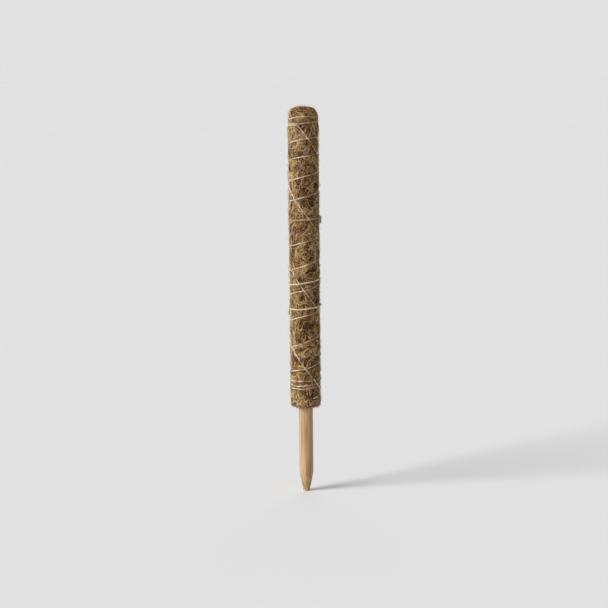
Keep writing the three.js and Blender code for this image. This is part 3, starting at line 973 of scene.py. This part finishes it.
def carried_sides(points):
    """Two directions across a route at each point, carried along it without twisting."""
    tangents = np.gradient(points, axis=0)
    tangents /= np.linalg.norm(tangents, axis=1)[:, None]
    side = np.cross(tangents[0], [0.0, 0.0, 1.0])
    sides = []
    for tangent in tangents:
        side = side - tangent * side.dot(tangent)
        side = side / np.linalg.norm(side)
        sides.append(side)
    sides = np.array(sides)
    return sides, np.cross(tangents, sides)


def twisted(points, count, offset, pitch):
    """The centre lines of the plies of a laid thread. The offset and the pitch are in millimetres."""
    walked = np.concatenate([[0.0], np.cumsum(np.linalg.norm(np.diff(points, axis=0), axis=1))])
    sides, others = carried_sides(points)
    lines = []
    for ply in range(count):
        phase = (walked / (pitch * MM) + ply / count) * TURN
        aside = np.cos(phase)[:, None] * sides + np.sin(phase)[:, None] * others
        lines.append(points + offset * MM * aside)
    return np.array(lines)


def tucked(angle, height, lift, direction):
    """The points of a tucked end of the twine, from inside the mat to where it lies along the mat."""
    outwards = np.array([math.cos(angle), math.sin(angle), 0.0])
    along = np.array([-outwards[1], outwards[0], 0.0]) * direction
    seat = TWINE_SEAT + lift + crown_taper(height)
    base = np.array([0.0, 0.0, height])
    points = [base + outwards * (MAT_INSIDE + depth) for depth in TUCK_DEPTHS]
    for bend in np.linspace(0, QUARTER, 6):
        points.append(base + outwards * (seat - TUCK_BEND * (1 - math.sin(bend)))
                      + along * TUCK_BEND * (1 - math.cos(bend)))
    return np.array(points) * MM


def twine_line():
    """The twine's centre line in metres, from one tucked end to the other."""
    angles, heights, lifts = twine_route
    skip = 8
    start = tucked(angles[0], heights[0], lifts[0], -1)
    end = tucked(angles[-1], heights[-1], lifts[-1], 1)[::-1]
    laid = on_pole(angles, heights, TWINE_SEAT + lifts + crown_taper(heights))[skip:-skip]
    return spaced(np.vstack([start, laid, end]), TWINE_STEP * MM)


def fuzz(line, count, length, surface):
    """Fine hairs of a length that stand out from a thread's surface: their paths, thicknesses and tones."""
    rings = 6
    shares = (0.4, 1.0)
    limp = 0.45
    thickness = (0.08, 0.14)
    tone = (0.4, 1.0)
    sides, others = carried_sides(line)
    at = draw.integers(2, len(line) - 2, count)
    turn = draw.uniform(0, TURN, count)
    out = np.cos(turn)[:, None] * sides[at] + np.sin(turn)[:, None] * others[at]
    along = np.cross(sides[at], others[at]) * draw.uniform(-1, 1, count)[:, None]
    part = np.linspace(0, 1, rings)[None, :, None]
    long = draw.uniform(*shares, count)[:, None, None] * length
    droop = draw.normal(0, limp, (count, 1, 3))
    root = line[at][:, None] + out[:, None] * surface * MM
    paths = root + (out[:, None] * part + along[:, None] * part**1.4 + droop * part**2) * long * MM
    return paths, draw.uniform(*thickness, count), draw.uniform(*tone, count)


# Finishes

BLACK = (0.0, 0.0, 0.0)
WHITE = (1.0, 1.0, 1.0)
GOLDEN_COIR = [
    (0.0, (0.036, 0.0165, 0.0052)),
    (0.25, (0.145, 0.072, 0.021)),
    (0.5, (0.380, 0.205, 0.060)),
    (0.75, (0.610, 0.382, 0.134)),
    (1.0, (0.810, 0.595, 0.290)),
]
REDDISH_COIR = [
    (0.0, (0.030, 0.011, 0.0045)),
    (0.25, (0.122, 0.044, 0.017)),
    (0.5, (0.315, 0.137, 0.058)),
    (0.75, (0.510, 0.264, 0.125)),
    (1.0, (0.710, 0.488, 0.285)),
]
# Felt tones: coir brown, darkened to painted shade for the gaps between the fibres over the felt
FELT_TONES_AND_PAINTED_SHADE = [(0.3, (0.022, 0.010, 0.004)), (0.55, (0.070, 0.034, 0.014)), (0.8, (0.170, 0.090, 0.038))]
CREAM = [(0.0, (0.420, 0.310, 0.190)), (0.45, (0.800, 0.690, 0.520)), (1.0, (0.940, 0.880, 0.760))]
BROWN_JUTE = [(0.0, (0.150, 0.090, 0.045)), (0.5, (0.400, 0.270, 0.145)), (1.0, (0.630, 0.480, 0.290))]
BEIGE_JUTE = [(0.0, (0.300, 0.210, 0.100)), (0.5, (0.660, 0.520, 0.295)), (1.0, (0.860, 0.740, 0.500))]
PALE_JUTE = [(0.0, (0.340, 0.250, 0.140)), (0.5, (0.720, 0.580, 0.360)), (1.0, (0.880, 0.780, 0.570))]
SOFTWOOD = [(0.3, (0.400, 0.240, 0.110)), (0.52, (0.560, 0.370, 0.190)), (0.75, (0.660, 0.470, 0.265))]
GRAIN_LINES = [(0.38, (0.520, 0.400, 0.300)), (0.55, WHITE)]
DULL_ZINC = [(0.35, (0.36, 0.36, 0.36)), (0.65, (0.66, 0.67, 0.68))]
ALONG_GRAIN = (1, 1, 0.035)
ALONG_BANDS = (1, 1, 0.06)
ALONG_PORES = (1, 1, 0.03)
ALONG_FELT = (1, 1, 0.35)


class Finish:
    """A material with one Principled shader, and short ways to add the nodes of its colour and relief."""

    def __init__(self, name, roughness, specular):
        self.material = bpy.data.materials.new(name)
        self.material.use_nodes = True
        self.tree = self.material.node_tree
        self.shader = self.tree.nodes["Principled BSDF"]
        self.shader.inputs["Roughness"].default_value = roughness
        self.shader.inputs["Specular IOR Level"].default_value = specular

    def node(self, kind, **settings):
        made = self.tree.nodes.new(kind)
        for name, value in settings.items():
            setattr(made, name, value)
        return made

    def feed(self, socket, value):
        """Sets a socket to a number, or links it to another node's socket."""
        if isinstance(value, (int, float)):
            socket.default_value = value
        else:
            self.tree.links.new(value, socket)

    def noise(self, scale, detail=3.0, stretch=(1, 1, 1), distortion=0.0):
        coordinates = self.node("ShaderNodeTexCoord")
        mapping = self.node("ShaderNodeMapping")
        mapping.inputs["Scale"].default_value = stretch
        self.feed(mapping.inputs["Vector"], coordinates.outputs["Object"])
        made = self.node("ShaderNodeTexNoise")
        self.feed(made.inputs["Vector"], mapping.outputs["Vector"])
        self.feed(made.inputs["Scale"], scale)
        self.feed(made.inputs["Detail"], detail)
        self.feed(made.inputs["Distortion"], distortion)
        return made.outputs["Fac"]

    def attribute(self, name):
        return self.node("ShaderNodeAttribute", attribute_name=name).outputs["Fac"]

    def math(self, operation, first, second):
        made = self.node("ShaderNodeMath", operation=operation)
        self.feed(made.inputs[0], first)
        self.feed(made.inputs[1], second)
        return made.outputs["Value"]

    def swing(self, value, amount, middle=0.5):
        """How far a value lies from its middle, times an amount."""
        return self.math("MULTIPLY", self.math("SUBTRACT", value, middle), amount)

    def ramp(self, factor, stops):
        made = self.node("ShaderNodeValToRGB")
        elements = made.color_ramp.elements
        while len(elements) < len(stops):
            elements.new(0.5)
        for element, (position, colour) in zip(elements, stops):
            element.position = position
            element.color = (*colour, 1.0)
        self.feed(made.inputs["Fac"], factor)
        return made.outputs["Color"]

    def mix(self, factor, first, second, blend="MIX"):
        first_colour, second_colour, mixed_colour = 6, 7, 2
        made = self.node("ShaderNodeMix", data_type="RGBA", blend_type=blend)
        self.feed(made.inputs["Factor"], factor)
        self.feed(made.inputs[first_colour], first)
        self.feed(made.inputs[second_colour], second)
        return made.outputs[mixed_colour]

    def colour(self, socket):
        self.feed(self.shader.inputs["Base Color"], socket)

    def relief(self, height, distance, strength):
        bump = self.node("ShaderNodeBump")
        self.feed(bump.inputs["Strength"], strength)
        self.feed(bump.inputs["Distance"], distance * MM)
        self.feed(bump.inputs["Height"], height)
        self.feed(self.shader.inputs["Normal"], bump.outputs["Normal"])


def coir_fibre_finish():
    """Dry coir: from dark brown to pale straw by the tone of each fibre, in golden and reddish patches."""
    finish = Finish("coir_fibre", roughness=0.72, specular=0.28)
    patches = finish.swing(finish.noise(38, detail=2.0), amount=0.18)
    fleck = finish.swing(finish.noise(330, detail=2.0), amount=1.3)
    tone = finish.math("ADD", finish.attribute("tone"), finish.math("ADD", patches, fleck))
    patchy = finish.swing(finish.noise(52, detail=2.0), amount=1.9, middle=0.35)
    blush = finish.math("ADD", finish.math("MULTIPLY", finish.attribute("blush"), 0.4), patchy)
    share = finish.ramp(blush, [(0.2, BLACK), (0.8, WHITE)])
    finish.colour(finish.mix(share, finish.ramp(tone, GOLDEN_COIR), finish.ramp(tone, REDDISH_COIR)))
    return finish.material


def coir_felt_finish():
    """The dense body of a layer, with short matted fibres in relief: coir brown, darkened to painted shade
    for the gaps between the fibres over it.
    """
    finish = Finish("coir_felt_painted_shade", roughness=0.9, specular=0.15)
    fibres = finish.noise(620, stretch=ALONG_FELT, distortion=1.2)
    patches = finish.math("MULTIPLY", finish.noise(60), 0.35)
    tone = finish.math("ADD", finish.math("MULTIPLY", fibres, 0.75), patches)
    finish.colour(finish.ramp(tone, FELT_TONES_AND_PAINTED_SHADE))
    finish.relief(fibres, distance=0.9, strength=0.8)
    return finish.material


def twine_finish():
    """Undyed cotton and jute twine, cream with darker flecks."""
    finish = Finish("cream_twine", roughness=0.8, specular=0.25)
    tone = finish.math("ADD", finish.attribute("tone"), finish.swing(finish.noise(520), amount=0.9))
    finish.colour(finish.ramp(tone, CREAM))
    finish.relief(finish.noise(1500, detail=2.0), distance=0.15, strength=0.5)
    return finish.material


def jute_finish(name, shades):
    """Coarse jute, shaded between its plies."""
    finish = Finish(name, roughness=0.82, specular=0.22)
    tone = finish.math("ADD", finish.attribute("tone"), finish.swing(finish.noise(430), amount=0.8))
    finish.colour(finish.ramp(tone, shades))
    finish.relief(finish.noise(1300, detail=2.0), distance=0.2, strength=0.6)
    return finish.material


def stake_finish():
    """Plain softwood: long grain with darker bands and fine pores."""
    finish = Finish("stake_softwood", roughness=0.62, specular=0.3)
    grain = finish.noise(260, detail=4.0, stretch=ALONG_GRAIN, distortion=0.6)
    band = finish.noise(70, detail=2.0, stretch=ALONG_BANDS, distortion=0.8)
    pores = finish.noise(1400, detail=2.0, stretch=ALONG_PORES)
    finish.colour(finish.mix(0.75, finish.ramp(band, SOFTWOOD), finish.ramp(grain, GRAIN_LINES), "MULTIPLY"))
    finish.relief(finish.math("ADD", grain, finish.math("MULTIPLY", pores, 0.5)), distance=0.25, strength=0.5)
    return finish.material


def staple_finish():
    """Galvanised wire, dulled in patches."""
    finish = Finish("staple_wire", roughness=0.38, specular=0.5)
    finish.shader.inputs["Metallic"].default_value = 1.0
    finish.colour(finish.ramp(finish.noise(700), DULL_ZINC))
    finish.relief(finish.noise(1600, detail=2.0), distance=0.05, strength=0.3)
    return finish.material


COIR_FIBRE = coir_fibre_finish()
COIR_FELT_PAINTED_SHADE = coir_felt_finish()
CREAM_TWINE = twine_finish()
STAKE_WOOD = stake_finish()
STAPLE_WIRE = staple_finish()
JUTE = {
    "jute_tie_upper": jute_finish("brown_jute", BROWN_JUTE),
    "jute_tie_middle": jute_finish("beige_jute", BEIGE_JUTE),
    "jute_tie_lower": jute_finish("pale_jute", PALE_JUTE),
}


# Pieces of the pole

add_piece("turned_stake", stake_body(), STAKE_WOOD, "stake_wood", "core_stake")
add_piece("inner_wrap_felt", wrap_felt(), COIR_FELT_PAINTED_SHADE, "inner_coir", "inner_coir_wrap")
add_piece("crown_wad_felt", wad_felt(), COIR_FELT_PAINTED_SHADE, "inner_coir", "crown_wad")
# The felt's dark colour is partly painted shade for the gaps between the fibres
add_piece("coir_mat_felt", mat_felt(), COIR_FELT_PAINTED_SHADE, "coir", "outer_coir_mat")

band_height = ROUNDING_START / BANDS
for band in range(BANDS):
    low = band * band_height
    layers = [side_fibres(low, low + band_height, **layer) for layer in SIDE_LAYERS]
    add_strands(f"coir_fibres_{band + 1}", layers, FIBRE_SIDES, COIR_FIBRE, "coir")

layers = [crown_fibres(**layer) for layer in CROWN_LAYERS]
add_strands("coir_crown_fibres", layers, FIBRE_SIDES, COIR_FIBRE, "coir", blush=CROWN_BLUSH)

layers = [
    stray_fibres(scattered(520), step=1.6, reach=5.0, closed=0.45, thickness=(0.16, 0.26)),
    stray_fibres(scattered(500), step=2.0, reach=3.0, closed=1.0, thickness=(0.2, 0.34)),
    stray_fibres(beside_threads(1100), step=1.8, reach=3.2, closed=1.0, thickness=(0.24, 0.4)),
    laid_strands(LOOSE_STRANDS, members=4),
]
add_strands("coir_stray_fibres", layers, FIBRE_SIDES, COIR_FIBRE, "coir")

layers = [cover_fibres(count=1300, step=1.1)]
add_strands("coir_cover_fibres", layers, FIBRE_SIDES, COIR_FIBRE, "coir")

layers = [edge_fibres(count=1300), side_fibres(0.0, EDGE_BAND, **EDGE_LAYER)]
add_strands("coir_edge_fibres", layers, FIBRE_SIDES, COIR_FIBRE, "coir")

line = twine_line()
plies = twisted(line, **TWINE_PLIES)
layers = [(plies, np.full(len(plies), TWINE_PLY_THICKNESS), TWINE_PLY_TONES)]
add_strands("twisted_twine", layers, THREAD_SIDES, CREAM_TWINE, "twine", "binding_twine")
layers = [fuzz(line, count=1000, length=2.2, surface=0.6)]
add_strands("twine_fuzz", layers, FIBRE_SIDES, CREAM_TWINE, "twine")

for name, (angles, heights, lifts) in tie_routes.items():
    line = on_pole(angles, heights, TIE_SEAT + lifts)
    yarns = np.concatenate([twisted(ply, **JUTE_YARNS) for ply in twisted(line, **JUTE_PLIES)])
    thickness = draw.uniform(*JUTE_YARN_THICKNESS, len(yarns))
    tones = draw.uniform(*JUTE_YARN_TONES, len(yarns))
    add_strands(f"{name}_yarns", [(yarns, thickness, tones)], THREAD_SIDES, JUTE[name], "jute", name)
    layers = [fuzz(line, count=420, length=3.4, surface=0.9)]
    add_strands(f"{name}_fuzz", layers, FIBRE_SIDES, JUTE[name], "jute")

for name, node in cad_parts.items():
    if "staple" in name:
        node.data.materials.clear()
        node.data.materials.append(STAPLE_WIRE)


# Studio

LAMP_PLACE = Vector((-2.7, -1.1, 1.5))
LAMP_WIDTH = math.radians(26)
LAMP_STRENGTH = 3.6
FILL_PLACE = Vector((0.0, 2.5, 1.2))
FILL_WIDTH = math.radians(60)
FILL_STRENGTH = 0.85
WORLD_LIGHT = 0.28
FLOOR_REACH = 60.0
FLOOR_COLOUR = (0.74, 0.74, 0.745)
FLOOR_SHADE = 0.985
FLOOR_GLOW = 0.08

scene = bpy.context.scene
scene.view_settings.view_transform = "Standard"


def seen_directly(tree):
    """1 where the camera, a reflection or clear glass looks at a surface, and 0 where it only gives light."""
    path = tree.nodes.new("ShaderNodeLightPath")
    seen = path.outputs["Is Camera Ray"]
    for ray in ("Is Glossy Ray", "Is Transmission Ray"):
        either = tree.nodes.new("ShaderNodeMath")
        either.operation = "MAXIMUM"
        tree.links.new(seen, either.inputs[0])
        tree.links.new(path.outputs[ray], either.inputs[1])
        seen = either.outputs["Value"]
    return seen


def studio_finish(name, colour, glow):
    """Pale paper that looks evenly lit to the camera and to reflections, and still takes the shadow."""
    finish = Finish(name, roughness=0.9, specular=0.0)
    shaded = tuple(channel * FLOOR_SHADE for channel in colour)
    finish.colour(finish.ramp(finish.noise(0.6, detail=1.0), [(0.2, shaded), (0.8, colour)]))
    finish.shader.inputs["Emission Color"].default_value = (*WHITE, 1.0)
    shown = finish.math("MULTIPLY", seen_directly(finish.tree), glow)
    finish.feed(finish.shader.inputs["Emission Strength"], shown)
    return finish.material


def studio_floor(reach, colour, glow):
    """A pale floor, so wide that no edge of it shows from any side."""
    shape = bmesh.new()
    bmesh.ops.create_grid(shape, x_segments=1, y_segments=1, size=reach)
    bmesh.ops.translate(shape, verts=shape.verts, vec=(0.0, 0.0, -SHANK_LENGTH * MM))
    mesh = to_mesh(shape, "studio_floor")
    mesh.materials.append(studio_finish("studio_paper", colour, glow))
    stage = bpy.data.objects.new("studio_floor", mesh)
    scene.collection.objects.link(stage)


def studio_lamp(name, place, width, strength):
    """Wide, even light from the direction of a place, as from a large soft panel far off."""
    lamp = bpy.data.lights.new(name, "SUN")
    lamp.angle = width
    lamp.energy = strength
    holder = bpy.data.objects.new(name, lamp)
    holder.location = place
    holder.rotation_euler = (-place).to_track_quat("-Z", "Y").to_euler()
    scene.collection.objects.link(holder)


def studio_world(light, backdrop):
    """Even light from all sides. The camera and reflections see a pale backdrop beyond the floor."""
    world = bpy.data.worlds.new("studio_world")
    world.use_nodes = True
    tree = world.node_tree
    strength = tree.nodes.new("ShaderNodeMapRange")
    strength.inputs["To Min"].default_value = light
    strength.inputs["To Max"].default_value = backdrop
    background = tree.nodes["Background"]
    background.inputs["Color"].default_value = (*WHITE, 1.0)
    tree.links.new(seen_directly(tree), strength.inputs["Value"])
    tree.links.new(strength.outputs["Result"], background.inputs["Strength"])
    scene.world = world


# The backdrop beyond the floor is as bright as the lit floor itself
floor_light = math.pi * WORLD_LIGHT
floor_light += LAMP_STRENGTH * LAMP_PLACE.normalized().z
floor_light += FILL_STRENGTH * FILL_PLACE.normalized().z
backdrop = FLOOR_COLOUR[0] * floor_light / math.pi + FLOOR_GLOW

studio_floor(FLOOR_REACH, FLOOR_COLOUR, FLOOR_GLOW)
studio_world(WORLD_LIGHT, backdrop)
studio_lamp("window_left", LAMP_PLACE, LAMP_WIDTH, LAMP_STRENGTH)
studio_lamp("fill_behind", FILL_PLACE, FILL_WIDTH, FILL_STRENGTH)

# Camera, at the photograph's viewing angle, with its place in metres
CAMERA_DISTANCE = 2.18
CAMERA_HEIGHT = 0.525
CAMERA_PITCH = math.radians(9.55)
CAMERA_ROLL = math.radians(-0.55)
CAMERA_SIDE = -0.0013
FIELD_OF_VIEW = math.radians(24)

camera = bpy.data.cameras.new("photo_camera")
camera.sensor_width = 36.0
camera.lens = camera.sensor_width / 2 / math.tan(FIELD_OF_VIEW / 2)
holder = bpy.data.objects.new("photo_camera", camera)
turned = Matrix.Rotation(QUARTER - CAMERA_PITCH, 4, "X") @ Matrix.Rotation(CAMERA_ROLL, 4, "Z")
holder.matrix_world = Matrix.Translation((CAMERA_SIDE, -CAMERA_DISTANCE, CAMERA_HEIGHT)) @ turned
scene.collection.objects.link(holder)
scene.camera = holder
